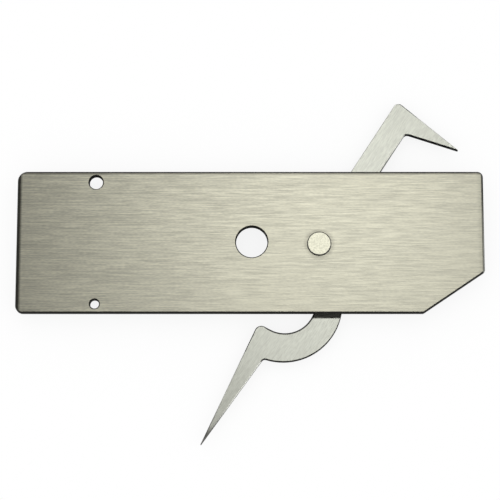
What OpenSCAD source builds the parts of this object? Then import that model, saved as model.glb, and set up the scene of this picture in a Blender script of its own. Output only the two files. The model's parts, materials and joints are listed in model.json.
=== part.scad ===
// Weld gauge: a flat steel plate with a swinging S-shaped pointer riveted under it.
// Millimetres. The origin is on the axis of the hanging hole, half way through the plate.
// +X runs along the plate towards the sloping nose, +Z out of the plain back face.
// The pointer swings under the front face, about the rivet.

/* [Plate] */
// Length of the plate
plate_l = 82.55; // [78:0.05:96]
// Width of the plate between its two long edges
plate_w = 25.4; // [23:0.1:32]
// Thickness of the plate
plate_t = 1.6; // [1:0.1:2.5]
// Length of the sloping nose along the datum edge
nose_l = 10.9; // [6:0.1:14]
// Height of the sloping nose up the end of the plate
nose_h = 7.35; // [4:0.05:10]
// Radius of the corner between the square end and the far edge
far_corner_r = 1.7; // [0.6:0.1:3]
// Radius of the corner between the square end and the datum edge
datum_corner_r = 1.3; // [0.6:0.1:3]
// Radius of the corner between the far edge and the nose end
end_corner_r = 1; // [0.6:0.1:3]
// Radius that eases both ends of the sloping nose
nose_ease_r = 0.5; // [0.4:0.1:1.5]
// Width of the broken edge all round both faces
edge_break = 0.25; // [0.1:0.05:0.35]

/* [Holes] */
// Distance from the square end to the hanging hole
hang_from_end = 41.5; // [37:0.1:45]
// Diameter of the hanging hole
hang_d = 5.55; // [4:0.05:8]
// Distance from the square end to the two pore comparison holes
pore_from_end = 13.9; // [8:0.1:22]
// Diameter of the larger pore hole
large_pore_d = 2.4; // [1.6:0.05:3]
// Distance of the larger pore hole from the far edge
large_pore_inset = 1.95; // [1.9:0.05:5]
// Diameter of the smaller pore hole
small_pore_d = 1.6; // [0.8:0.05:2.2]
// Distance of the smaller pore hole from the datum edge
small_pore_inset = 1.6; // [1.5:0.05:5]
// Width of the broken edge at the mouths of the holes
mouth_break = 0.18; // [0.05:0.01:0.2]

/* [Pivot] */
// Distance from the hanging hole to the pivot, along the plate
pivot_from_hang = 11.9; // [10:0.1:16]
// Distance of the pivot below the middle of the plate's width
pivot_drop = 0.35; // [0:0.05:2]
// Diameter of the rivet's shank
shank_d = 2.4; // [2:0.05:3]
// Diameter of both rivet heads
head_d = 4.3; // [3.8:0.05:6]
// Height of the upset tail above the back face
tail_h = 0.3; // [0.2:0.05:0.8]
// Height of the front head
front_head_h = 0.6; // [0.4:0.05:1.2]
// Width of the broken edge of both rivet heads
head_break = 0.18; // [0.05:0.01:0.18]
// Radial clearance of the shank in the plate
shank_fit = 0.02; // [0.01:0.01:0.05]
// Radial clearance of the shank in the pointer and the washer
running_fit = 0.05; // [0.02:0.01:0.1]
// Axial clearance on each face of the pointer
slide_gap = 0.05; // [0.02:0.01:0.2]
// Thickness of the spring washer
washer_t = 0.3; // [0.2:0.05:0.5]
// Height of the spring washer's cone
washer_cone = 0.12; // [0.05:0.01:0.3]
// Diameter of the spring washer
washer_d = 4.2; // [3.8:0.05:6]

/* [Pointer] */
// Direction of the pointer's arm, from the plate's length
arm_angle = 57; // [0:1:360]
// Thickness of the pointer
pointer_t = 1.2; // [0.8:0.1:2]
// Distance from the pivot to the arm's edge on the hook's side
arm_near = 2; // [1.8:0.05:3]
// Distance from the pivot to the arm's plain edge
arm_far = 2.45; // [1.8:0.05:3]
// Distance from the pivot to the hook's outer corner, along the arm
hook_reach = 29.9; // [24:0.1:34]
// Distance from the pivot's line along the arm to where the hook's edges would meet
hook_side = 11.75; // [8:0.05:14]
// Distance that this point lies back from the hook's outer corner
hook_drop = 1.7; // [0.5:0.05:3]
// Depth of the hook where it leaves the arm
hook_depth = 4.3; // [3.2:0.05:6]
// Radius of the hook's outer corner
hook_r = 1; // [0.4:0.1:2]
// Radius in the notch under the hook
notch_r = 0.8; // [0.3:0.1:1.5]
// Distance from the pivot to the middle of the bow's inside, along the arm
bow_drop = 11.95; // [11.5:0.05:13]
// Distance of this middle from the pivot's line
bow_side = 0.5; // [0.2:0.05:0.8]
// Radius of the bow's inside
bow_inner_r = 5.4; // [4.5:0.05:6]
// Distance from the pivot to the middle of the bow's rim, along the arm
rim_drop = 12.1; // [11.7:0.05:13]
// Distance of the rim's middle from the pivot's line
rim_side = 0.25; // [0:0.05:0.5]
// Radius of the bow's rim
rim_r = 10.5; // [10:0.05:11.5]
// Radius where the rim runs into the arm and the spike
rim_fillet_r = 0.6; // [0.3:0.1:1.5]
// Radius of the two rounded heels beside the mouth of the bow
heel_r = 1.2; // [0.4:0.1:1.5]
// Distance of the spike's heel from the pivot's line
heel_side = 1.45; // [0.8:0.05:2]
// Slope across the arm at which the bow's inside runs straight out to the spike's heel
heel_slope = 5; // [2:0.5:15]
// Distance from the pivot to where the spike's edges would meet, along the arm
spike_reach = 41.5; // [34:0.1:50]
// Distance of this point from the pivot's line
spike_side = 1.8; // [0.5:0.05:2.5]
// Distance of the spike's straight back from the pivot's line, at the bow
spike_back = 2.75; // [2.4:0.05:4]
// Radius that blunts the hook's tip and the spike's tip
tip_r = 0.06; // [0.04:0.01:0.15]
// Width of the broken edge all round both faces of the pointer
pointer_break = 0.15; // [0.05:0.01:0.2]

/* [Hidden] */
$fn = 96;
// How far a cutter stands out of what it cuts
over = 0.05;
// How far an arc overlaps the edges that it eases, so that they cross in one clean line
blend = 0.0003;

plate_left = -hang_from_end;
plate_right = plate_l - hang_from_end;
plate_far = plate_w / 2;
plate_datum = -plate_w / 2;
pivot = [pivot_from_hang, -pivot_drop];
pore_x = plate_left + pore_from_end;

// Levels down through the stack on the rivet
back_z = plate_t / 2;
front_z = -plate_t / 2;
pointer_back_z = front_z - slide_gap;
pointer_front_z = pointer_back_z - pointer_t;
washer_rim_z = pointer_front_z - slide_gap;
head_seat_z = washer_rim_z - washer_cone - washer_t;

// The bow's two circles, the middle of the band between them and the height where its mouth begins
bow_middle = [bow_side, -bow_drop];
rim_middle = [rim_side, -rim_drop];
band_r = (bow_inner_r + rim_r) / 2;
bow_top = -bow_drop + bow_inner_r;

// The spike's straight edges, and the middles of the arcs that ease the bow's rim into the arm and the spike
spike_tip = [spike_side, -spike_reach];
heel_way = [cos(heel_slope), sin(heel_slope)];
heel_start = bow_middle - left_of(heel_way) * (bow_inner_r - blend);
heel = heel_start - heel_way * (heel_start[0] + heel_side) / heel_way[0];
spike_root = [spike_back, -rim_drop - sqrt(rim_r * rim_r - pow(spike_back - rim_side, 2))];
spike_way = unit(spike_tip - spike_root);
arm_fillet = fillet_middle([arm_near, 0], [0, 1], [1, 0]);
spike_fillet = fillet_middle(spike_root, spike_way, left_of(spike_way));

// The arm with its hook, and the spike with its heel, both filled in beside the bow for the fillets there.
// The last list of each numbers the corners from which a free edge starts.
arm_corners = [
    [-arm_far, bow_top - blend],
    [bow_side, bow_top - blend],
    [arm_near, bow_top - blend],
    band_point(arm_fillet),
    arm_fillet,
    [arm_near, arm_fillet[1]],
    [arm_near, hook_reach - hook_depth],
    [hook_side, hook_reach - hook_drop],
    [-arm_far, hook_reach]
];
arm_radii = [heel_r, 0, 0, 0, 0, 0, notch_r, tip_r, hook_r];
arm_free = [0, 5, 6, 7, 8];
spike_corners = [
    spike_tip,
    spike_fillet - left_of(spike_way) * rim_fillet_r,
    spike_fillet,
    band_point(spike_fillet),
    heel_start + heel_way * (band_r - bow_inner_r),
    heel_start,
    heel
];
spike_radii = [tip_r, 0, 0, 0, 0, 0, heel_r];
spike_free = [0, 5, 6];

steel = [0.74, 0.72, 0.66];
pointer_steel = [0.80, 0.80, 0.75];
rivet_steel = [0.84, 0.82, 0.75];
spring_steel = [0.55, 0.55, 0.53];

function unit(v) = v / norm(v);
function turn_of(v) = atan2(v[1], v[0]);
// Left-hand normal of a direction
function left_of(v) = [-v[1], v[0]];

// The three points that shape one corner of an outline, and the side to which it turns
function corner_before(pts, i) = pts[(i + len(pts) - 1) % len(pts)];
function corner_after(pts, i) = pts[(i + 1) % len(pts)];
function way_in(pts, i) = unit(pts[i] - corner_before(pts, i));
function way_out(pts, i) = unit(corner_after(pts, i) - pts[i]);
function bend(pts, i) = cross(way_in(pts, i), way_out(pts, i)) > 0 ? 1 : -1;
// Angle by which the outline turns at a corner
function bend_angle(pts, i) = acos(way_in(pts, i) * way_out(pts, i));
// Length of straight edge that a corner's radius takes up
function ease(pts, radii, i) = radii[i] > 0 ? radii[i] * tan(bend_angle(pts, i) / 2) : 0;
function arc_start(pts, radii, i) = pts[i] - way_in(pts, i) * ease(pts, radii, i);
function arc_end(pts, radii, i) = pts[i] + way_out(pts, i) * ease(pts, radii, i);
function arc_middle(pts, radii, i) =
    arc_start(pts, radii, i) + left_of(way_in(pts, i)) * bend(pts, i) * radii[i];

// A rounded corner leads the outline to the middle of its arc and back, and a sharp one is one point
function corner_points(pts, radii, i) =
    radii[i] > 0
        ? [arc_start(pts, radii, i), arc_middle(pts, radii, i), arc_end(pts, radii, i)]
        : [pts[i]];

// The discs of all the rounded corners that turn to one side
module corner_discs(pts, radii, side) {
    for (i = [0 : len(pts) - 1])
        if (radii[i] > 0 && bend(pts, i) == side)
            translate(arc_middle(pts, radii, i)) circle(r = radii[i] + blend);
}

// A closed outline, listed anticlockwise, with its own radius at each corner.
// Discs fill the outer corners and are cut out of the inner ones.
module rounded_outline(pts, radii) {
    difference() {
        union() {
            polygon([for (i = [0 : len(pts) - 1]) each corner_points(pts, radii, i)]);
            corner_discs(pts, radii, 1);
        }
        corner_discs(pts, radii, -1);
    }
}

// How far the cut along a straight edge runs on past corner i: over an outer arc, but not into an inner one
function spare(pts, radii, i) = radii[i] > 0 && bend(pts, i) > 0 ? radii[i] + over : 0;
// Angle by which the cut round an inner arc of radius r runs on past its ends
function run_on(r) = 2 * over / r * 180 / PI;

// Section of the metal taken off an upper edge that lies at radius r and height z.
// The metal is inside that radius where side is 1, and outside it where side is -1.
module break_section(r, z, size, side) {
    polygon([
        [r - side * (size + over), z + over],
        [r + side * over, z - size - over],
        [r + side * over, z + over]
    ]);
}

// The metal taken off the upper edge round an arc, anticlockwise from one direction to another
module arc_break(middle, r, first, last, z, size, side) {
    translate(middle)
        rotate(first)
            rotate_extrude(angle = (last - first + 720) % 360) break_section(r, z, size, side);
}

// The same along the straight edge that leaves corner i
module side_break(pts, radii, i, z, size) {
    next = (i + 1) % len(pts);
    way = way_out(pts, i);
    first = arc_end(pts, radii, i) - way * spare(pts, radii, i);
    last = arc_start(pts, radii, next) + way * spare(pts, radii, next);
    translate(last)
        rotate([90, 0, turn_of(way) - 90])
            linear_extrude(height = norm(last - first)) break_section(0, z, size, 1);
}

// The same round the arc of corner i, unless the cuts along its two edges take it all
module corner_break(pts, radii, i, z, size) {
    if (radii[i] > size + over) {
        side = bend(pts, i);
        sweep = bend_angle(pts, i);
        r = radii[i] + blend;
        past = side < 0 ? run_on(r) : 0;
        first = turn_of(way_in(pts, i)) + (side < 0 ? 90 - sweep : -90);
        arc_break(arc_middle(pts, radii, i), r, first - past, first + sweep + past, z, size, side);
    }
}

// The same along the free edges of a rounded outline, and round all its corners
module edge_break_cut(pts, radii, free, z, size) {
    for (i = free) side_break(pts, radii, i, z, size);
    for (i = [0 : len(pts) - 1]) corner_break(pts, radii, i, z, size);
}

// A round hole with both of its mouths broken
module broken_hole(at, d, size) {
    translate([at[0], at[1], front_z - over]) cylinder(d = d, h = plate_t + 2 * over);
    for (side = [0, 1])
        mirror([0, 0, side])
            translate([at[0], at[1], back_z - size])
                cylinder(r1 = d / 2, r2 = d / 2 + size + over, h = size + over);
}

// Plate with its sloping nose, the hanging hole and the two pore comparison holes
module body_plate() {
    corners = [
        [plate_left, plate_datum],
        [plate_right - nose_l, plate_datum],
        [plate_right, plate_datum + nose_h],
        [plate_right, plate_far],
        [plate_left, plate_far]
    ];
    radii = [datum_corner_r, nose_ease_r, nose_ease_r, end_corner_r, far_corner_r];
    color(steel)
        difference() {
            translate([0, 0, front_z])
                linear_extrude(height = plate_t) rounded_outline(corners, radii);
            for (side = [0, 1])
                mirror([0, 0, side]) edge_break_cut(corners, radii, [0 : 4], back_z, edge_break);
            broken_hole([0, 0], hang_d, mouth_break);
            broken_hole([pore_x, plate_far - large_pore_inset], large_pore_d, mouth_break);
            broken_hole([pore_x, plate_datum + small_pore_inset], small_pore_d, mouth_break);
            translate([pivot[0], pivot[1], front_z - over])
                cylinder(d = shank_d + 2 * shank_fit, h = plate_t + 2 * over);
        }
}

// Where a line through a point leaves a circle of radius r about the rim's middle
function on_rim_circle(point, way, r) =
    let (start = point - rim_middle)
    let (along = -(start * way) + sqrt(pow(start * way, 2) - start * start + r * r))
    point + way * along;

// Middle of the arc that eases the corner between the bow's rim and a straight edge that leaves it.
// The edge runs through a point in direction way, and out is its free side.
function fillet_middle(point, way, out) =
    on_rim_circle(point + out * rim_fillet_r, way, rim_r + rim_fillet_r);

// Point half way into the bow's band, in line with the middle of such an arc
function band_point(middle) = rim_middle + unit(middle - rim_middle) * band_r;

// Half ring that carries the arm round to the spike, open towards the plain side of the arm
module bow() {
    far = 2 * rim_r;
    difference() {
        translate(rim_middle) circle(r = rim_r);
        translate(bow_middle) circle(r = bow_inner_r);
        translate(bow_middle)
            polygon([[0, 0], [0, far], [-far, far], [-far, -far], [far * tan(heel_slope), -far]]);
    }
}

// Outline of the pointer, the arm along +Y and the pivot at the origin
module pointer_outline() {
    difference() {
        union() {
            rounded_outline(arm_corners, arm_radii);
            bow();
            rounded_outline(spike_corners, spike_radii);
        }
        for (middle = [arm_fillet, spike_fillet])
            translate(middle) circle(r = rim_fillet_r + blend);
    }
}

// The metal taken off the edge of the bow's fillet, between the directions of the edges that it joins
module fillet_break(middle, first, last, z) {
    r = rim_fillet_r + blend;
    arc_break(middle, r, first - run_on(r), last + run_on(r), z, pointer_break, -1);
}

// The metal taken off the upper edge all round the pointer
module pointer_break_cut(z) {
    edge_break_cut(arm_corners, arm_radii, arm_free, z, pointer_break);
    edge_break_cut(spike_corners, spike_radii, spike_free, z, pointer_break);
    to_arm = turn_of(arm_fillet - rim_middle);
    to_spike = turn_of(spike_fillet - rim_middle);
    past = run_on(bow_inner_r);
    arc_break(rim_middle, rim_r, to_spike, to_arm, z, pointer_break, 1);
    arc_break(bow_middle, bow_inner_r, heel_slope - 90 - past, 90 + past, z, pointer_break, -1);
    fillet_break(arm_fillet, 180, to_arm + 180, z);
    fillet_break(spike_fillet, to_spike + 180, turn_of(-left_of(spike_way)), z);
}

// Pointer: hook, arm, bow and spike cut from one sheet, with the hole for the rivet
module pointer() {
    color(pointer_steel)
        translate([pivot[0], pivot[1], (pointer_back_z + pointer_front_z) / 2])
            rotate(arm_angle - 90)
                difference() {
                    linear_extrude(height = pointer_t, center = true) pointer_outline();
                    for (side = [0, 1]) mirror([0, 0, side]) pointer_break_cut(pointer_t / 2);
                    cylinder(d = shank_d + 2 * running_fit, h = pointer_t + 2 * over, center = true);
                }
}

// One rivet head on the plane z = 0, standing up
module rivet_head(h) {
    cylinder(d = head_d, h = h - head_break);
    translate([0, 0, h - head_break])
        cylinder(r1 = head_d / 2, r2 = head_d / 2 - head_break, h = head_break);
}

// Rivet: shank, front head and upset tail in one piece
module pivot_rivet() {
    color(rivet_steel)
        translate(pivot)
            union() {
                translate([0, 0, head_seat_z]) cylinder(d = shank_d, h = back_z - head_seat_z);
                translate([0, 0, back_z]) rivet_head(tail_h);
                translate([0, 0, head_seat_z]) mirror([0, 0, 1]) rivet_head(front_head_h);
            }
}

// Conical spring washer that presses the pointer to the plate
module spring_washer() {
    inner = shank_d / 2 + running_fit;
    outer = washer_d / 2;
    color(spring_steel)
        translate([pivot[0], pivot[1], head_seat_z])
            rotate_extrude()
                polygon([
                    [inner, 0],
                    [outer, washer_cone],
                    [outer, washer_cone + washer_t],
                    [inner, washer_t]
                ]);
}

body_plate();
pointer();
pivot_rivet();
spring_washer();
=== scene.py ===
"""Looks of a weld gauge: brushed steel finishes, the graduations of its front face and a plain studio.

The frame's solids keep their shapes and get node-based steel. The front face, which lies on the floor,
gets filled graduations: a swing scale about the pivot, an inch rule and the sizes of the two pore holes.
All lengths are in metres, in the frame of the solids.
"""

import json
import math

import bpy
import numpy as np
from mathutils import Euler, Matrix, Vector


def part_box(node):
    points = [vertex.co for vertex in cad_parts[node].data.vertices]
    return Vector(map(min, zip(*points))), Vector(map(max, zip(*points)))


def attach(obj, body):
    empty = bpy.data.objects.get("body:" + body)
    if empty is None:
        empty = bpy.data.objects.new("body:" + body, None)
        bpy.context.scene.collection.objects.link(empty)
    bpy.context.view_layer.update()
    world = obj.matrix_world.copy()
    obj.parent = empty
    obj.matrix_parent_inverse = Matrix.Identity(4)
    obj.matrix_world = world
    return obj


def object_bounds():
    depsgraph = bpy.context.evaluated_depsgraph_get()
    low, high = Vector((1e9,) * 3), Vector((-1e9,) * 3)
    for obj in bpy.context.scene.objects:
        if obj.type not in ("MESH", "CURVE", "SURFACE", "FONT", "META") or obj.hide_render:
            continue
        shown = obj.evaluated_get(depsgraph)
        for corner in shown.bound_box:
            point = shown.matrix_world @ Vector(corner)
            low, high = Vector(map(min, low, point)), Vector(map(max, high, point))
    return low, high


bl_info = {
    "name": "Weld gauge",
    "version": (1, 0, 0),
    "blender": (4, 5, 0),
    "location": "View3D > Sidebar > Weld gauge",
    "description": "Finishes, graduations and studio of a weld gauge",
    "category": "Object",
}

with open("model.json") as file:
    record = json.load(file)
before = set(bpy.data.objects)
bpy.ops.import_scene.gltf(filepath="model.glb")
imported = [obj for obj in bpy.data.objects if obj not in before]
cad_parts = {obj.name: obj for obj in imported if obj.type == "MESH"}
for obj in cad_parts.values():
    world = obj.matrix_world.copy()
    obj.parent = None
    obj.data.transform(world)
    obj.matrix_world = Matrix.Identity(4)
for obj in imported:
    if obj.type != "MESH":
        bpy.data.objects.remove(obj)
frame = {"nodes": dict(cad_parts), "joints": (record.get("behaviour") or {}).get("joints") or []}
CAD_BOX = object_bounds()
PLATE_LOW, PLATE_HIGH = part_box("body_plate")
PIVOT = Vector(frame["joints"][0]["pos_m"])
MM = 0.001
INCH = 0.0254

# Flatness of the surface: where a wall turns into a broken edge, and that into a level face
BROKEN = (0.3, 0.6)
LEVEL = (0.80, 0.97)

# Cells of the brushed grain along, across and into the face. Fine and broad strokes are in stroke lengths
# along the face and in widths otherwise, specks are in widths, and the slow drift is in grain lengths
FINE = (1, 1, 4)
BROAD = (3, 1.1, 9)
SPECK = (5, 1, 1)
SLOW = (3, 1.5, 1.5)
# How far each of them counts in the grain, and how far grain and drift move the tone and the roughness
FINE_SHARE = 0.38
BROAD_SHARE = 0.3
SPECK_SHARE = 0.32
GRAIN_CONTRAST = 2.4
SLOW_CONTRAST = 0.06
GRAIN_SHEEN = 0.12
# Blotches of pressed steel: where the noise turns from dark to light, and how far it moves the roughness
BLOTCH = (0.36, 0.64)
BLOTCH_SHEEN = 0.16
# Wear of the filled marks: where the noise turns, its cell, the fill's roughness and how far it moves that
WEAR = (0.35, 0.75)
WEAR_CELL = 0.4 * MM
FILL_ROUGHNESS = 0.55
WEAR_SHEEN = 0.2

# Bands, most of them painted shade: the share by which each counts, and the distances at which it fades out
# and is full.
# These distances are in rim widths
# END_BAND, FAR_BAND, NOSE_LINE and NOSE_BAND darken the face along the plate's edges as painted shade;
# NOSE_GROUND and NOSE_SIDE mark where the nose's edges keep the steel's colour
END_BAND = (0.9, 1.15, 0.45)
FAR_BAND = (0.55, 0.8, 0.4)
NOSE_LINE = (0.6, 0.55, 0.4)
NOSE_BAND = (0.14, 1.6, 0.5)
NOSE_GROUND = (0.35, 0.4, 0.3)
NOSE_SIDE = (1, 4, 16)
# These are in millimetres
# Painted shade: a faint ring round the rivet
RIVET_RING = (0.22, 3.0, 2.2)
# Painted shade and highlight in the grain towards the square end
GRAIN_SHADING_BAND = (0.5, 50, 5)
# These are in widths of the throat's line, and in reaches of the tip, the bow, the hook and its corner
# The throat's line, the bow, the hook and its corner take painted shade; the tip band darkens the spike
# towards its tip
THROAT_BAND = (0.85, 1.2, 0.6)
TIP_BAND = (0.92, 1, 0.25)
BOW_BAND = (1, 1.04, 1)
HOOK_BAND = (1, 1.1, 1)
CORNER_BAND = (1, 1, 0.5)
# Lengths of the darkening on the spike's edges and of its haze, in reaches of the tip, and the haze's share
EDGE_FADE = 2.2
HAZE_FADE = 5
HAZE_SHARE = 0.1
# Facing of the hook's inner edge across the plate, and of its outer corner along it, where each takes painted
# black shade
INNER_FACING = (-0.56, -0.64)
OUTER_FACING = (-0.1, 0.25)

# Lengths of graduation lines in short lines, by the number of steps from one such line to the next
SCALE_RANKS = ((4, 2.0), (2, 1.45))
RULE_RANKS = ((16, 2.6), (8, 2.1), (4, 1.6))
# Middles of the figures past the ends of their lines, in figure heights
SCALE_FIGURE = 1.2
RULE_FIGURE = 0.85
# Height of a figure as a share of the size of the built-in face, and its steps along a curve
FIGURE_SHARE = 0.7
FIGURE_STEPS = 4

# Directions in the room: towards a side, low down, and up to half the height
ASIDE = (0.35, 0.8)
LOW_DOWN = (0.25, 0.0)
HALF_UP = (0.6, 0.35)
# Openness of the floor from close by the gauge to farther off
OPENNESS = (0.65, 0.95)
# Width of the camera's film in millimetres, and the range of distances that it sees
FILM_WIDTH = 36
CAMERA_RANGE = (0.01, 100)


# Sizes and colours that a user would change


class WELDGAUGE_PG_finish(bpy.types.PropertyGroup):
    """Colours and grain of the steel, and the painted shade on its edges"""

    plate_light: bpy.props.FloatVectorProperty(
        name="Plate, light grain", description="Colour of the plate on the crests of its grain",
        default=(0.725, 0.706, 0.566), size=3, min=0, max=1, subtype="COLOR")
    plate_dark: bpy.props.FloatVectorProperty(
        name="Plate, dark grain", description="Colour of the plate in the grooves of its grain",
        default=(0.585, 0.574, 0.472), size=3, min=0, max=1, subtype="COLOR")
    pointer_light: bpy.props.FloatVectorProperty(
        name="Pointer, light grain", description="Colour of the pointer on the crests of its grain",
        default=(0.765, 0.78, 0.69), size=3, min=0, max=1, subtype="COLOR")
    pointer_dark: bpy.props.FloatVectorProperty(
        name="Pointer, dark grain", description="Colour of the pointer in the grooves of its grain",
        default=(0.66, 0.67, 0.595), size=3, min=0, max=1, subtype="COLOR")
    rivet_light: bpy.props.FloatVectorProperty(
        name="Rivet, light", description="Colour of the pressed rivet heads",
        default=(0.94, 0.925, 0.75), size=3, min=0, max=1, subtype="COLOR")
    rivet_dark: bpy.props.FloatVectorProperty(
        name="Rivet, dark", description="Colour of the blotches on the rivet heads",
        default=(0.70, 0.69, 0.555), size=3, min=0, max=1, subtype="COLOR")
    washer_light: bpy.props.FloatVectorProperty(
        name="Spring washer, light", description="Lighter colour of the spring steel",
        default=(0.50, 0.49, 0.46), size=3, min=0, max=1, subtype="COLOR")
    washer_dark: bpy.props.FloatVectorProperty(
        name="Spring washer, dark", description="Darker colour of the spring steel",
        default=(0.30, 0.30, 0.29), size=3, min=0, max=1, subtype="COLOR")
    # Painted shade: a dark colour for the walls of the sheet, for the pointer's edges towards the spike's
    # tip, and for all edges of the rivet and washer
    painted_wall_shade: bpy.props.FloatVectorProperty(
        name="Cut walls", description="Colour of the sheared walls of the sheet",
        default=(0.10, 0.098, 0.092), size=3, min=0, max=1, subtype="COLOR")
    # Painted shade, near black, on the broken edges of the plate, its holes and the bow
    painted_edge_shade: bpy.props.FloatVectorProperty(
        name="Sheared edges", description="Colour of the broken edges of the plate, its holes and the bow",
        default=(0.032, 0.031, 0.028), size=3, min=0, max=1, subtype="COLOR")
    ground_tint: bpy.props.FloatVectorProperty(
        name="Ground edges", description="Colour of the ground edges of the pointer's arm, hook and spike",
        default=(0.66, 0.665, 0.61), size=3, min=0, max=1, subtype="COLOR")
    # Painted shade, near black, on the hook's inner edge and its outer corner
    painted_black_shade: bpy.props.FloatVectorProperty(
        name="Burnt edges", description="Colour of the hook's inner edge and of its outer corner",
        default=(0.014, 0.014, 0.013), size=3, min=0, max=1, subtype="COLOR")
    # The throat's middle, radius and line place a thin line of painted shade beside the arc inside the bow
    throat_middle: bpy.props.FloatVectorProperty(
        name="Throat's middle", description="Middle of the arc inside the pointer's bow",
        default=(5.81 * MM, -10.64 * MM, 0), size=3, subtype="XYZ", unit="LENGTH")
    throat_radius: bpy.props.FloatProperty(
        name="Throat's radius", description="Radius of that arc, with its broken edge", default=5.55 * MM,
        unit="LENGTH")
    throat_line: bpy.props.FloatProperty(
        name="Throat's line", description="Width of the dark line beside that arc", default=0.14 * MM,
        unit="LENGTH")
    # The spike's face and edges darken towards its tip over this reach
    tip_reach: bpy.props.FloatProperty(
        name="Dark tip", description="How far the spike is stained dark from its tip", default=4.5 * MM,
        unit="LENGTH")
    # Painted shade on the edges and walls round the bow's middle, within its reach
    bow_middle: bpy.props.FloatVectorProperty(
        name="Bow's middle", description="Middle of the pointer's bow, whose edges are left as sheared",
        default=(6.2 * MM, -11 * MM, 0), size=3, subtype="XYZ", unit="LENGTH")
    bow_reach: bpy.props.FloatProperty(
        name="Bow's reach", description="Radius round that middle in which the edges are left as sheared",
        default=10.9 * MM, unit="LENGTH")
    # Painted black shade on the hook's inner edge round its middle, within its reach
    hook_middle: bpy.props.FloatVectorProperty(
        name="Hook's middle", description="Middle of the hook's inner edge, which is burnt dark",
        default=(31.5 * MM, 18 * MM, 0), size=3, subtype="XYZ", unit="LENGTH")
    hook_reach: bpy.props.FloatProperty(
        name="Hook's reach", description="Radius round that middle in which the edge is burnt dark",
        default=5.4 * MM, unit="LENGTH")
    # A line of painted black shade at the hook's outer corner, within the corner's reach
    corner_middle: bpy.props.FloatVectorProperty(
        name="Hook's corner", description="Middle of the dark line at the hook's outer corner",
        default=(27.4 * MM, 24.6 * MM, 0), size=3, subtype="XYZ", unit="LENGTH")
    corner_reach: bpy.props.FloatProperty(
        name="Corner's reach", description="How far that dark line runs to both sides", default=3.2 * MM,
        unit="LENGTH")
    # Painted shade: the dark bands along the plate's square end, far edge and nose are measured in this width
    rim_width: bpy.props.FloatProperty(
        name="Dull rim", description="Width of the band that is dull along the plate's square end",
        default=0.85 * MM, unit="LENGTH")
    arm_angle: bpy.props.FloatProperty(
        name="Arm's angle", description="Direction of the arm, along which the pointer is brushed",
        default=math.radians(57), subtype="ANGLE")
    pointer_stroke: bpy.props.FloatProperty(
        name="Pointer's stroke", description="Length of a stroke on the pointer, in the plate's strokes",
        default=0.4, min=0)
    rivet_blotch: bpy.props.FloatProperty(
        name="Rivet's blotches", description="Size of the blotches on the rivet heads", default=0.35 * MM,
        unit="LENGTH")
    washer_blotch: bpy.props.FloatProperty(
        name="Washer's blotches", description="Size of the blotches on the spring washer", default=0.3 * MM,
        unit="LENGTH")
    grain_length: bpy.props.FloatProperty(
        name="Grain length", description="Length of a brush stroke", default=3.0 * MM, unit="LENGTH")
    grain_width: bpy.props.FloatProperty(
        name="Grain width", description="Width of a brush stroke", default=0.135 * MM, unit="LENGTH")
    grain_depth: bpy.props.FloatProperty(
        name="Grain depth", description="Depth of a brush stroke", default=0.004 * MM, unit="LENGTH")
    roughness: bpy.props.FloatProperty(
        name="Roughness", description="Roughness of the brushed faces", default=0.48, min=0, max=1,
        subtype="FACTOR")
    edge_roughness: bpy.props.FloatProperty(
        name="Edge roughness", description="Roughness of the walls and broken edges", default=0.42, min=0,
        max=1, subtype="FACTOR")


class WELDGAUGE_PG_marks(bpy.types.PropertyGroup):
    """Sizes of the graduations on the front face"""

    line_width: bpy.props.FloatProperty(
        name="Line width", description="Width of a graduation line", default=0.14 * MM, unit="LENGTH")
    line_height: bpy.props.FloatProperty(
        name="Fill height", description="How far the fill stands out of the face", default=0.01 * MM,
        unit="LENGTH")
    figure_height: bpy.props.FloatProperty(
        name="Figure height", description="Height of the figures", default=1.5 * MM, unit="LENGTH")
    scale_radius: bpy.props.FloatProperty(
        name="Scale radius", description="Distance from the pivot to the far ends of the swing scale's lines",
        default=25.8 * MM, unit="LENGTH")
    scale_line: bpy.props.FloatProperty(
        name="Scale line", description="Length of the swing scale's short lines", default=1.4 * MM,
        unit="LENGTH")
    rule_inset: bpy.props.FloatProperty(
        name="Rule inset", description="Distance of the inch rule's lines from the datum edge",
        default=0.35 * MM, unit="LENGTH")
    rule_line: bpy.props.FloatProperty(
        name="Rule line", description="Length of the inch rule's short lines", default=1.0 * MM,
        unit="LENGTH")
    rule_start: bpy.props.FloatProperty(
        name="Rule start", description="Place of the inch rule's nought along the plate", default=2.0 * MM,
        unit="LENGTH")
    pore_column: bpy.props.FloatProperty(
        name="Pore sizes", description="Place of the pore holes' figures along the plate", default=-27.6 * MM,
        unit="LENGTH")
    pore_far: bpy.props.FloatProperty(
        name="Large pore's size", description="Place of the large pore hole's figures across the plate",
        default=8.0 * MM, unit="LENGTH")
    pore_near: bpy.props.FloatProperty(
        name="Small pore's size", description="Place of the small pore hole's figures across the plate",
        default=-8.9 * MM, unit="LENGTH")
    fill_dark: bpy.props.FloatVectorProperty(
        name="Fill", description="Colour of the fill in the lines",
        default=(0.012, 0.012, 0.014), size=3, min=0, max=1, subtype="COLOR")
    fill_worn: bpy.props.FloatVectorProperty(
        name="Worn fill", description="Colour of the fill where it is worn",
        default=(0.05, 0.05, 0.052), size=3, min=0, max=1, subtype="COLOR")


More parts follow.
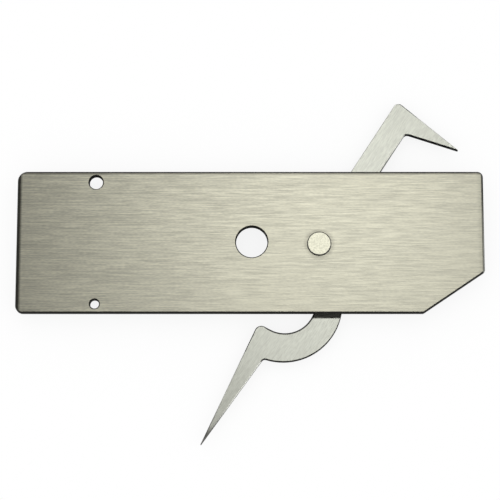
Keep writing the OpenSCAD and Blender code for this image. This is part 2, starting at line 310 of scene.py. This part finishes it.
class WELDGAUGE_PG_studio(bpy.types.PropertyGroup):
    """Camera, light and floor"""

    camera_target: bpy.props.FloatVectorProperty(
        name="Target", description="Point in the middle of the picture",
        default=(-0.305 * MM, -1.33 * MM, 0), size=3, subtype="XYZ", unit="LENGTH")
    camera_elevation: bpy.props.FloatProperty(
        name="Elevation", description="Height of the camera above the horizon", default=math.radians(79),
        subtype="ANGLE")
    camera_distance: bpy.props.FloatProperty(
        name="Distance", description="Distance of the camera from its target", default=353.1 * MM,
        unit="LENGTH")
    camera_lens: bpy.props.FloatProperty(
        name="Focal length", description="Focal length of the camera in millimetres", default=143.94,
        subtype="DISTANCE_CAMERA")
    lamp_target: bpy.props.FloatVectorProperty(
        name="Lamp target", description="Point on the plate at the middle of the light",
        default=(20 * MM, -26.5 * MM, 0), size=3, subtype="XYZ", unit="LENGTH")
    lamp_elevation: bpy.props.FloatProperty(
        name="Lamp elevation", description="Height of the lamp above the horizon, on the far side",
        default=math.radians(62), subtype="ANGLE")
    lamp_distance: bpy.props.FloatProperty(
        name="Lamp distance", description="Distance of the lamp from its target", default=700 * MM,
        unit="LENGTH")
    lamp_radius: bpy.props.FloatProperty(
        name="Lamp radius", description="Radius of the lamp, which softens its shadows", default=50 * MM,
        unit="LENGTH")
    lamp_reach: bpy.props.FloatProperty(
        name="Lamp reach", description="Radius of the light at its target", default=86 * MM, unit="LENGTH")
    lamp_power: bpy.props.FloatProperty(
        name="Lamp power", description="Power of the lamp in watts", default=7.85, subtype="POWER")
    room_right: bpy.props.FloatProperty(
        name="Room, right", description="Brightness of the room low down at the nose", default=2.4, min=0)
    room_left: bpy.props.FloatProperty(
        name="Room, left", description="Brightness of the room low down at the square end", default=1.2,
        min=0)
    room_front: bpy.props.FloatProperty(
        name="Room, front", description="Brightness of the room low down at the datum edge", default=0.25,
        min=0)
    room_round: bpy.props.FloatProperty(
        name="Room, all round", description="Brightness of the room's walls up to half their height",
        default=0.85, min=0)
    room_dim: bpy.props.FloatProperty(
        name="Room, overhead", description="Brightness of the room overhead", default=0.004, min=0)
    floor_white: bpy.props.FloatProperty(
        name="Floor white", description="White of the floor and the room as the camera sees them",
        default=1.0, min=0)
    floor_shade: bpy.props.FloatProperty(
        name="Floor shade", description="How much the floor darkens close to the gauge", default=0.14, min=0,
        max=1)
    shade_reach: bpy.props.FloatProperty(
        name="Shade reach", description="Distance over which that shade fades", default=16 * MM,
        unit="LENGTH")
    floor_dim: bpy.props.FloatProperty(
        name="Floor in the steel", description="Brightness of the floor close by, as the steel mirrors it",
        default=0.02, min=0)
    floor_far: bpy.props.FloatProperty(
        name="Far floor in the steel", description="Brightness of the far floor, as the steel mirrors it",
        default=0.5, min=0)
    floor_size: bpy.props.FloatProperty(
        name="Floor size", description="Side of the floor", default=30.0, unit="LENGTH")


# Node trees written as expressions


class Signal:
    """One output of a node tree. Arithmetic on it adds Math nodes."""

    def __init__(self, tree, socket):
        self.tree = tree
        self.socket = socket

    def math(self, operation, *values):
        return self.tree.node("ShaderNodeMath", {"operation": operation}, values)

    def __add__(self, other):
        return self.math("ADD", self, other)

    def __radd__(self, other):
        return self.math("ADD", other, self)

    def __sub__(self, other):
        return self.math("SUBTRACT", self, other)

    def __rsub__(self, other):
        return self.math("SUBTRACT", other, self)

    def __mul__(self, other):
        return self.math("MULTIPLY", self, other)

    def __rmul__(self, other):
        return self.math("MULTIPLY", other, self)

    def __truediv__(self, other):
        return self.math("DIVIDE", self, other)

    def __rtruediv__(self, other):
        return self.math("DIVIDE", other, self)

    def __abs__(self):
        return self.math("ABSOLUTE", self)

    def step(self, low, high):
        """0 below low, 1 above high, and a smooth rise between them. With low above high it falls."""
        return self.tree.node(
            "ShaderNodeMapRange", {"interpolation_type": "SMOOTHSTEP"},
            {"Value": self, "From Min": low, "From Max": high})

    def band(self, share, out, full, unit):
        """A share of the way from nothing at the distance out to everything at the distance full."""
        return share * self.step(out * unit, full * unit)


class NodeTree:
    """A material's or a world's nodes, made by one method."""

    def __init__(self, owner):
        owner.use_nodes = True
        self.tree = owner.node_tree
        self.tree.nodes.clear()

    def node(self, kind, settings=None, inputs=(), output=0):
        """Adds a node: its settings first, then the values or links of its sockets."""
        made = self.tree.nodes.new(kind)
        for name, value in (settings or {}).items():
            setattr(made, name, value)
        for key, value in inputs.items() if isinstance(inputs, dict) else enumerate(inputs):
            if isinstance(value, Signal):
                self.tree.links.new(value.socket, made.inputs[key])
            else:
                made.inputs[key].default_value = value
        return Signal(self, made.outputs[output])

    def mix(self, share, first, second):
        """Colour between two, by a share from 0 to 1."""
        first, second = [c if isinstance(c, Signal) else (*c, 1) for c in (first, second)]
        return self.node("ShaderNodeMix", {"data_type": "RGBA"}, {0: share, 6: first, 7: second}, 2)

    def shaded(self, colour, share):
        """Colour times a share."""
        return self.node("ShaderNodeVectorMath", {"operation": "SCALE"}, {"Vector": colour, "Scale": share})

    def place(self, turn=0.0, middle=(0, 0, 0)):
        """Object coordinates seen from a middle, turned back by an angle about the upright axis."""
        spot = self.node("ShaderNodeTexCoord", output="Object")
        return self.node(
            "ShaderNodeMapping", {"vector_type": "TEXTURE"},
            {"Vector": spot, "Location": tuple(middle), "Rotation": (0, 0, turn)})

    def coordinate(self, axis):
        """One of the object coordinates."""
        return self.node("ShaderNodeSeparateXYZ", inputs=(self.place(),), output=axis)

    def noise(self, spot, cell, detail=0.0, roughness=0.5):
        """Noise whose patches are about cell long in each direction."""
        spread = self.node(
            "ShaderNodeVectorMath", {"operation": "DIVIDE"}, {0: spot, 1: tuple(cell)})
        return self.node(
            "ShaderNodeTexNoise", {"noise_dimensions": "3D"},
            {"Vector": spread, "Scale": 1.0, "Detail": detail, "Roughness": roughness})

    def distance(self, middle):
        """Distance from an upright axis through a middle."""
        spot = self.place(middle=(middle[0], middle[1], 0))
        flat = self.node("ShaderNodeVectorMath", {"operation": "MULTIPLY"}, {0: spot, 1: (1, 1, 0)})
        return self.node("ShaderNodeVectorMath", {"operation": "LENGTH"}, (flat,), 1)

    def facing(self, axis):
        """How far the surface faces along an axis: 1 straight along it, -1 straight against it."""
        normal = self.node("ShaderNodeTexCoord", output="Normal")
        return self.node("ShaderNodeSeparateXYZ", inputs=(normal,), output=axis)

    def flatness(self):
        """1 where the surface lies level, 0 where it stands upright."""
        return abs(self.facing(2))

    def principled(self, colour, roughness, normal=None, metallic=1.0):
        """The surface itself."""
        inputs = {"Base Color": colour, "Roughness": roughness, "Metallic": metallic}
        if normal is not None:
            inputs["Normal"] = normal
        self.end(self.node("ShaderNodeBsdfPrincipled", inputs=inputs))

    def end(self, surface, kind="ShaderNodeOutputMaterial"):
        """Leads a shader to the tree's output."""
        made = self.tree.nodes.new(kind)
        self.tree.links.new(surface.socket, made.inputs["Surface"])


def edge_tone(tree, face, broken, wall):
    """Face colour on level ground, another on broken edges, which lie at 45 degrees, and one on walls. The
    dark colours given for edges and walls are painted shade.
    """
    flatness = tree.flatness()
    return tree.mix(flatness.step(*LEVEL), tree.mix(flatness.step(*BROKEN), wall, broken), face)


def brushed_steel(name, light, dark, edges, painted_shade_and_darkening, finish, stroke=1.0, turn=0.0, middle=(0, 0, 0), painted_grain_shading=None):
    """Brushed steel: long thin noise along one direction, in two sizes, with fine specks between, moves the
    colour, the roughness and the bump. A wide slow noise lets the tone drift. edges gives the colours of the
    broken edges and of the walls, whose dark colours are painted shade. The argument after it gives a share
    by which the face darkens, most of it painted shade, and the last a share by which its grooves darken and
    its crests lighten, which is painted shade and highlight in the grain."""
    material = bpy.data.materials.new(name)
    tree = NodeTree(material)
    spot = tree.place(turn, middle)
    width = finish.grain_width
    strokes = np.array([stroke * finish.grain_length, width, width])
    fine = tree.noise(spot, strokes * FINE)
    broad = tree.noise(spot, strokes * BROAD)
    speck = tree.noise(spot, width * np.array(SPECK))
    slow = tree.noise(spot, finish.grain_length * np.array(SLOW), detail=1.0)
    grain = FINE_SHARE * fine + BROAD_SHARE * broad + SPECK_SHARE * speck
    crest = ((grain - 0.5) * GRAIN_CONTRAST + 0.5 + (slow - 0.5) * SLOW_CONTRAST).step(0.0, 1.0)
    face = tree.mix(crest, dark, light)
    # Painted shade and highlight in the grain, by the last argument's share; then the face darkens by the
    # share of the argument after edges, most of it painted shade
    if painted_grain_shading is not None:
        face = tree.shaded(face, 1 + painted_grain_shading(tree) * (grain - 0.5))
    face = tree.shaded(face, 1 - painted_shade_and_darkening(tree))
    colour = edge_tone(tree, face, *edges(tree))
    level = tree.flatness().step(*LEVEL)
    bump = tree.node(
        "ShaderNodeBump", inputs={"Strength": level, "Distance": finish.grain_depth, "Height": grain})
    rougher = finish.roughness - finish.edge_roughness + (0.5 - fine) * GRAIN_SHEEN
    tree.principled(colour, finish.edge_roughness + level * rougher, bump)
    return material


def pressed_steel(name, light, dark, finish, blotch):
    """Steel with a pressed, uneven face: round noise of blotch size moves the colour and the roughness."""
    material = bpy.data.materials.new(name)
    tree = NodeTree(material)
    spot = tree.place()
    patch = tree.noise(spot, (blotch, blotch, blotch), detail=3.0, roughness=0.6)
    face = tree.mix(patch.step(*BLOTCH), dark, light)
    bump = tree.node(
        "ShaderNodeBump", inputs={"Strength": 1.0, "Distance": finish.grain_depth, "Height": patch})
    # The rivet's and washer's broken edges and walls take the painted wall shade
    colour = edge_tone(tree, face, finish.painted_wall_shade, finish.painted_wall_shade)
    tree.principled(colour, finish.roughness + (patch - 0.5) * BLOTCH_SHEEN, bump)
    return material


def give(node, material):
    """The material takes the place of all others on a node of the frame."""
    slots = frame["nodes"][node].data.materials
    slots.clear()
    slots.append(material)


# Graduations


def line_bars(starts, ends, width, low, high):
    """Flat bars as one mesh: each runs from a start to an end, half a width to both sides of that line,
    between the heights low and high. All corners come from one array of bars by 8 corners by 3."""
    starts, ends = np.asarray(starts, float), np.asarray(ends, float)
    way = ends - starts
    way /= np.linalg.norm(way, axis=1, keepdims=True)
    side = np.stack([-way[:, 1], way[:, 0]], axis=1) * width / 2
    ring = np.stack([starts - side, ends - side, ends + side, starts + side], axis=1)
    corners = np.concatenate([
        np.concatenate([ring, np.full((*ring.shape[:2], 1), z)], axis=2) for z in (low, high)], axis=1)
    quads = np.array([[3, 2, 1, 0], [4, 5, 6, 7], [0, 1, 5, 4], [1, 2, 6, 5], [2, 3, 7, 6], [3, 0, 4, 7]])
    faces = (quads[None] + 8 * np.arange(len(corners))[:, None, None]).reshape(-1, 4)
    return corners.reshape(-1, 3), faces


def mesh_points(mesh):
    """Places of a mesh's vertices, as one array."""
    flat = np.zeros(3 * len(mesh.vertices))
    mesh.vertices.foreach_get("co", flat)
    return flat.reshape(-1, 3)


def figures(texts, spots, height, low, high):
    """Figures as one mesh: each text is set in the built-in face, made a solid between the heights low and
    high, turned half round so that it reads from below, and moved to its spot."""
    points, faces, first = [], [], 0
    for text, spot in zip(texts, spots):
        curve = bpy.data.curves.new("figure", "FONT")
        curve.body, curve.size = text, height / FIGURE_SHARE
        curve.align_x, curve.align_y = "CENTER", "CENTER"
        curve.extrude = (high - low) / 2
        curve.resolution_u = FIGURE_STEPS
        holder = bpy.data.objects.new("figure", curve)
        bpy.context.scene.collection.objects.link(holder)
        mesh = bpy.data.meshes.new_from_object(holder.evaluated_get(bpy.context.evaluated_depsgraph_get()))
        mesh.transform(Matrix.Translation((*spot, (low + high) / 2)) @ Matrix.Rotation(math.pi, 4, "Y"))
        points.append(mesh_points(mesh))
        corners = np.zeros(len(mesh.loops), int)
        mesh.loops.foreach_get("vertex_index", corners)
        counts = np.zeros(len(mesh.polygons), int)
        mesh.polygons.foreach_get("loop_total", counts)
        faces += np.split(first + corners, np.cumsum(counts)[:-1])
        first += len(mesh.vertices)
        bpy.data.objects.remove(holder)
        bpy.data.curves.remove(curve)
        bpy.data.meshes.remove(mesh)
    return np.concatenate(points), faces


def fill_material(marks):
    """Dark fill of engraved lines, a little worn."""
    material = bpy.data.materials.new("mark_fill")
    tree = NodeTree(material)
    worn = tree.noise(tree.place(), (WEAR_CELL, WEAR_CELL, WEAR_CELL), detail=3.0)
    colour = tree.mix(worn.step(*WEAR), marks.fill_dark, marks.fill_worn)
    tree.principled(colour, FILL_ROUGHNESS + (worn - 0.5) * WEAR_SHEEN, metallic=0.0)
    return material


def line_lengths(steps, ranks):
    """Lengths of graduation lines in short lines: that of the first rank whose step a line lies on, or 1."""
    return np.select([steps % every == 0 for every, _ in ranks], [length for _, length in ranks], 1.0)


def add_marks(name, points, faces, material):
    """One piece of the front face, which moves with the plate."""
    mesh = bpy.data.meshes.new(name)
    mesh.from_pydata(points, [], faces)
    mesh.validate()
    mesh.materials.append(material)
    piece = bpy.data.objects.new(name, mesh)
    bpy.context.scene.collection.objects.link(piece)
    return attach(piece, "gauge_body")


def pointer_tips():
    """Places of the spike's tip and the hook's tip about the pivot: the farthest points of the pointer
    below and above it."""
    points = mesh_points(frame["nodes"]["pointer"].data)[:, :2] - np.array(PIVOT[:2])
    reach = np.linalg.norm(points, axis=1)
    below = points[:, 1] < 0
    return points[np.argmax(reach * below)], points[np.argmax(reach * ~below)]


def swing_angles(depths):
    """Turn of the hook's tip for each depth of the spike below the datum edge. With the spike towards the
    square end, its tip lies reach times the sine of its angle below the pivot, and the hook's tip leads
    the spike by a fixed turn."""
    spike, hook = pointer_tips()
    lift = PIVOT.y - PLATE_LOW.y
    lead = math.atan2(hook[1], hook[0]) - math.atan2(spike[1], spike[0])
    return np.arcsin((np.asarray(depths) + lift) / np.linalg.norm(spike)) + math.pi + lead


class WELDGAUGE_OT_plate(bpy.types.Operator):
    """Brushes the plate along its length"""

    bl_idname = "weld_gauge.plate"
    bl_label = "Finish the plate"

    def execute(self, context):
        finish = context.scene.weld_gauge_finish
        rim = finish.rim_width

        def painted_shade_and_darkening(tree):
            """Painted shade: a faint ring round the rivet, a dark band at the square end, a thin one at the
            far edge and a line at the nose."""
            along, across = tree.coordinate(0), tree.coordinate(1)
            end = (along - PLATE_LOW.x).band(*END_BAND, rim)
            far = (PLATE_HIGH.y - across).band(*FAR_BAND, rim)
            inset = PLATE_HIGH.x - along
            nose = inset.band(*NOSE_LINE, rim) + inset.band(*NOSE_BAND, rim)
            ring = tree.distance(PIVOT).band(*RIVET_RING, MM)
            return 1 - (1 - end) * (1 - far) * (1 - nose) * (1 - ring)

        def painted_grain_shading(tree):
            """Painted shade and highlight in the grain: its grooves darker and its crests lighter towards the
            square end.
            """
            return (tree.coordinate(0) - PLATE_LOW.x).band(*GRAIN_SHADING_BAND, MM)

        def edges(tree):
            """Painted shade on the broken edges all round, save where they are partly ground at the end of
            the nose, away from the far edge; the walls take the painted wall shade.
            """
            end = (PLATE_HIGH.x - tree.coordinate(0)).band(*NOSE_GROUND, rim)
            side = (PLATE_HIGH.y - tree.coordinate(1)).band(*NOSE_SIDE, rim)
            return tree.mix(end * side, finish.painted_edge_shade, finish.ground_tint), finish.painted_wall_shade

        give("body_plate", brushed_steel(
            "plate_steel", finish.plate_light, finish.plate_dark, edges, painted_shade_and_darkening, finish, painted_grain_shading=painted_grain_shading))
        return {"FINISHED"}


class WELDGAUGE_OT_pointer(bpy.types.Operator):
    """Brushes the pointer along its arm"""

    bl_idname = "weld_gauge.pointer"
    bl_label = "Finish the pointer"

    def execute(self, context):
        finish = context.scene.weld_gauge_finish
        tip = (np.array(PIVOT[:2]) + pointer_tips()[0]).tolist()

        def edges(tree):
            """Light where arm and spike are ground, darkening to the painted wall shade towards the spike's
            tip, painted black shade inside the hook and at its corner, and painted shade on the bow."""
            ground = tree.mix(tip_fade(tree, EDGE_FADE), finish.ground_tint, finish.painted_wall_shade)
            # Painted black shade on the hook's inner edge and its outer corner, chosen by which way each edge
            # faces
            hook = tree.distance(finish.hook_middle).band(*HOOK_BAND, finish.hook_reach)
            ground = tree.mix(hook * tree.facing(1).step(*INNER_FACING), ground, finish.painted_black_shade)
            corner = tree.distance(finish.corner_middle).band(*CORNER_BAND, finish.corner_reach)
            ground = tree.mix(corner * tree.facing(0).step(*OUTER_FACING), ground, finish.painted_black_shade)
            # Painted shade on the bow's broken edges and walls
            bow = tree.distance(finish.bow_middle).band(*BOW_BAND, finish.bow_reach)
            return tree.mix(bow, ground, finish.painted_edge_shade), tree.mix(bow, ground, finish.painted_wall_shade)

        def tip_fade(tree, reaches):
            """The spike darkens towards its tip, over so many reaches of the dark tip."""
            return tree.distance(tip).band(*TIP_BAND, reaches * finish.tip_reach)

        def painted_shade_and_darkening(tree):
            """The spike's tip and a haze above it darken, and a thin line of painted shade lies inside the
            bow.
            """
            beyond = tree.distance(finish.throat_middle) - finish.throat_radius
            line = beyond.band(*THROAT_BAND, finish.throat_line)
            haze = HAZE_SHARE * tip_fade(tree, HAZE_FADE)
            return 1 - (1 - tip_fade(tree, 1)) * (1 - haze) * (1 - line)

        give("pointer", brushed_steel(
            "pointer_steel", finish.pointer_light, finish.pointer_dark, edges, painted_shade_and_darkening, finish,
            stroke=finish.pointer_stroke, turn=finish.arm_angle, middle=PIVOT))
        return {"FINISHED"}


class WELDGAUGE_OT_pivot(bpy.types.Operator):
    """Finishes the rivet and the spring washer"""

    bl_idname = "weld_gauge.pivot"
    bl_label = "Finish the pivot"

    def execute(self, context):
        finish = context.scene.weld_gauge_finish
        give("pivot_rivet", pressed_steel(
            "rivet_steel", finish.rivet_light, finish.rivet_dark, finish, finish.rivet_blotch))
        give("spring_washer", pressed_steel(
            "spring_steel", finish.washer_light, finish.washer_dark, finish, finish.washer_blotch))
        return {"FINISHED"}


class WELDGAUGE_OT_marks(bpy.types.Operator):
    """Adds the filled graduations of the front face"""

    bl_idname = "weld_gauge.marks"
    bl_label = "Mark the front face"

    def execute(self, context):
        marks = context.scene.weld_gauge_marks
        material = fill_material(marks)
        face = PLATE_LOW.z
        levels = (face - marks.line_height, face + marks.line_height)

        # Swing scale: thirty-seconds of an inch, from a quarter above the datum edge to an eighth below it
        steps = np.arange(-8, 5)
        turn = swing_angles(steps * INCH / 32)
        length = marks.scale_line * line_lengths(steps, SCALE_RANKS)
        way = np.stack([np.cos(turn), np.sin(turn)], axis=1)
        middle = np.array(PIVOT[:2])
        outer = middle + way * marks.scale_radius
        inner = middle + way * (marks.scale_radius - length)[:, None]
        add_marks("swing_scale", *line_bars(inner, outer, marks.line_width, *levels), material)
        every, longest = SCALE_RANKS[0]
        reach = marks.scale_radius - longest * marks.scale_line - SCALE_FIGURE * marks.figure_height
        spots = middle + way[steps % every == 0] * reach
        add_marks("swing_figures", *figures(
            ["1/4", "1/8", "0", "1/8"], spots, marks.figure_height, *levels), material)

        # Inch rule: sixteenths along the datum edge, its nought towards the nose
        ticks = np.arange(17)
        along = marks.rule_start - ticks * INCH / 16
        foot = PLATE_LOW.y + marks.rule_inset
        starts = np.stack([along, np.full(len(ticks), foot)], axis=1)
        ends = np.stack([along, foot + marks.rule_line * line_lengths(ticks, RULE_RANKS)], axis=1)
        add_marks("inch_rule", *line_bars(starts, ends, marks.line_width, *levels), material)
        spots = ends[[0, 8, 16]] + [0, RULE_FIGURE * marks.figure_height]
        add_marks("inch_figures", *figures(["0", "1/2", "1"], spots, marks.figure_height, *levels), material)

        # Sizes of the two pore holes, beside them
        spots = [(marks.pore_column, marks.pore_far), (marks.pore_column, marks.pore_near)]
        add_marks("pore_figures", *figures(["3/32", "1/16"], spots, marks.figure_height, *levels), material)
        return {"FINISHED"}


class WELDGAUGE_OT_studio(bpy.types.Operator):
    """Sets up the pale floor, the soft light and the camera"""

    bl_idname = "weld_gauge.studio"
    bl_label = "Set up the studio"

    def execute(self, context):
        scene, studio = context.scene, context.scene.weld_gauge_studio

        half = studio.floor_size / 2
        mesh = bpy.data.meshes.new("floor")
        height = CAD_BOX[0].z
        mesh.from_pydata(
            [(-half, -half, height), (half, -half, height), (half, half, height), (-half, half, height)],
            [], [(0, 1, 2, 3)])
        paper = bpy.data.materials.new("pale_floor")
        tree = NodeTree(paper)
        seen = tree.node("ShaderNodeLightPath", output="Is Camera Ray")
        clear = tree.node(
            "ShaderNodeAmbientOcclusion", {"samples": 8}, {"Distance": studio.shade_reach}, output="AO")
        white = studio.floor_white - studio.floor_shade * (1 - clear)
        mirrored = studio.floor_dim + studio.floor_far * clear.step(*OPENNESS)
        strength = mirrored + seen * (white - mirrored)
        tree.end(tree.node("ShaderNodeEmission", inputs={"Color": (1, 1, 1, 1), "Strength": strength}))
        paper.cycles.emission_sampling = "NONE"
        mesh.materials.append(paper)
        floor = bpy.data.objects.new("floor", mesh)
        scene.collection.objects.link(floor)

        bulb = bpy.data.lights.new("lamp", "SPOT")
        bulb.energy, bulb.shadow_soft_size = studio.lamp_power, studio.lamp_radius
        bulb.spot_size = 2 * math.atan2(studio.lamp_reach, studio.lamp_distance)
        bulb.spot_blend = 1.0
        lamp = bpy.data.objects.new("lamp", bulb)
        out = Vector((0, math.cos(studio.lamp_elevation), math.sin(studio.lamp_elevation)))
        lamp.location = Vector(studio.lamp_target) + out * studio.lamp_distance
        lamp.rotation_euler = out.to_track_quat("Z", "Y").to_euler()
        scene.collection.objects.link(lamp)

        room = bpy.data.worlds.new("room")
        tree = NodeTree(room)
        way = tree.node("ShaderNodeTexCoord", output="Generated")
        right, back, up = [
            tree.node("ShaderNodeSeparateXYZ", inputs=(way,), output=axis) for axis in range(3)]
        seen = tree.node("ShaderNodeLightPath", output="Is Camera Ray")
        walls = (
            studio.room_right * right.step(*ASIDE) + studio.room_left * (-1 * right).step(*ASIDE)
            + studio.room_front * (-1 * back).step(*ASIDE))
        strength = studio.room_dim + studio.room_round * up.step(*HALF_UP) + walls * up.step(*LOW_DOWN)
        strength = strength + seen * (studio.floor_white - strength)
        sky = tree.node("ShaderNodeBackground", inputs={"Color": (1, 1, 1, 1), "Strength": strength})
        tree.end(sky, "ShaderNodeOutputWorld")
        scene.world = room

        lens = bpy.data.cameras.new("camera")
        lens.lens, lens.sensor_width = studio.camera_lens, FILM_WIDTH
        lens.clip_start, lens.clip_end = CAMERA_RANGE
        camera = bpy.data.objects.new("camera", lens)
        back = Vector((0, -math.cos(studio.camera_elevation), math.sin(studio.camera_elevation)))
        camera.location = Vector(studio.camera_target) + back * studio.camera_distance
        camera.rotation_euler = Euler((math.pi / 2 - studio.camera_elevation, 0, 0))
        scene.collection.objects.link(camera)
        scene.camera = camera
        scene.view_settings.view_transform = "Standard"
        return {"FINISHED"}


class WELDGAUGE_PT_panel(bpy.types.Panel):
    """Lists the gauge's sizes, colours and steps"""

    bl_label = "Weld gauge"
    bl_idname = "WELDGAUGE_PT_panel"
    bl_space_type = "VIEW_3D"
    bl_region_type = "UI"
    bl_category = "Weld gauge"

    def draw(self, context):
        for group, steps in PANEL_ROWS:
            box = self.layout.box()
            values = getattr(context.scene, group)
            for name in values.bl_rna.properties.keys():
                if name not in ("rna_type", "name"):
                    box.prop(values, name)
            for step in steps:
                box.operator(step)


PANEL_ROWS = (
    ("weld_gauge_finish", ("weld_gauge.plate", "weld_gauge.pointer", "weld_gauge.pivot")),
    ("weld_gauge_marks", ("weld_gauge.marks",)),
    ("weld_gauge_studio", ("weld_gauge.studio",)),
)
GROUPS = {
    "weld_gauge_finish": WELDGAUGE_PG_finish,
    "weld_gauge_marks": WELDGAUGE_PG_marks,
    "weld_gauge_studio": WELDGAUGE_PG_studio,
}
CLASSES = (
    *GROUPS.values(),
    WELDGAUGE_OT_plate,
    WELDGAUGE_OT_pointer,
    WELDGAUGE_OT_pivot,
    WELDGAUGE_OT_marks,
    WELDGAUGE_OT_studio,
    WELDGAUGE_PT_panel,
)


def register():
    for kind in CLASSES:
        bpy.utils.register_class(kind)
    for name, kind in GROUPS.items():
        setattr(bpy.types.Scene, name, bpy.props.PointerProperty(type=kind))


def unregister():
    for name in GROUPS:
        delattr(bpy.types.Scene, name)
    for kind in reversed(CLASSES):
        bpy.utils.unregister_class(kind)


def main():
    register()
    bpy.ops.weld_gauge.plate()
    bpy.ops.weld_gauge.pointer()
    bpy.ops.weld_gauge.pivot()
    bpy.ops.weld_gauge.marks()
    bpy.ops.weld_gauge.studio()


if __name__ == "__main__":
    main()
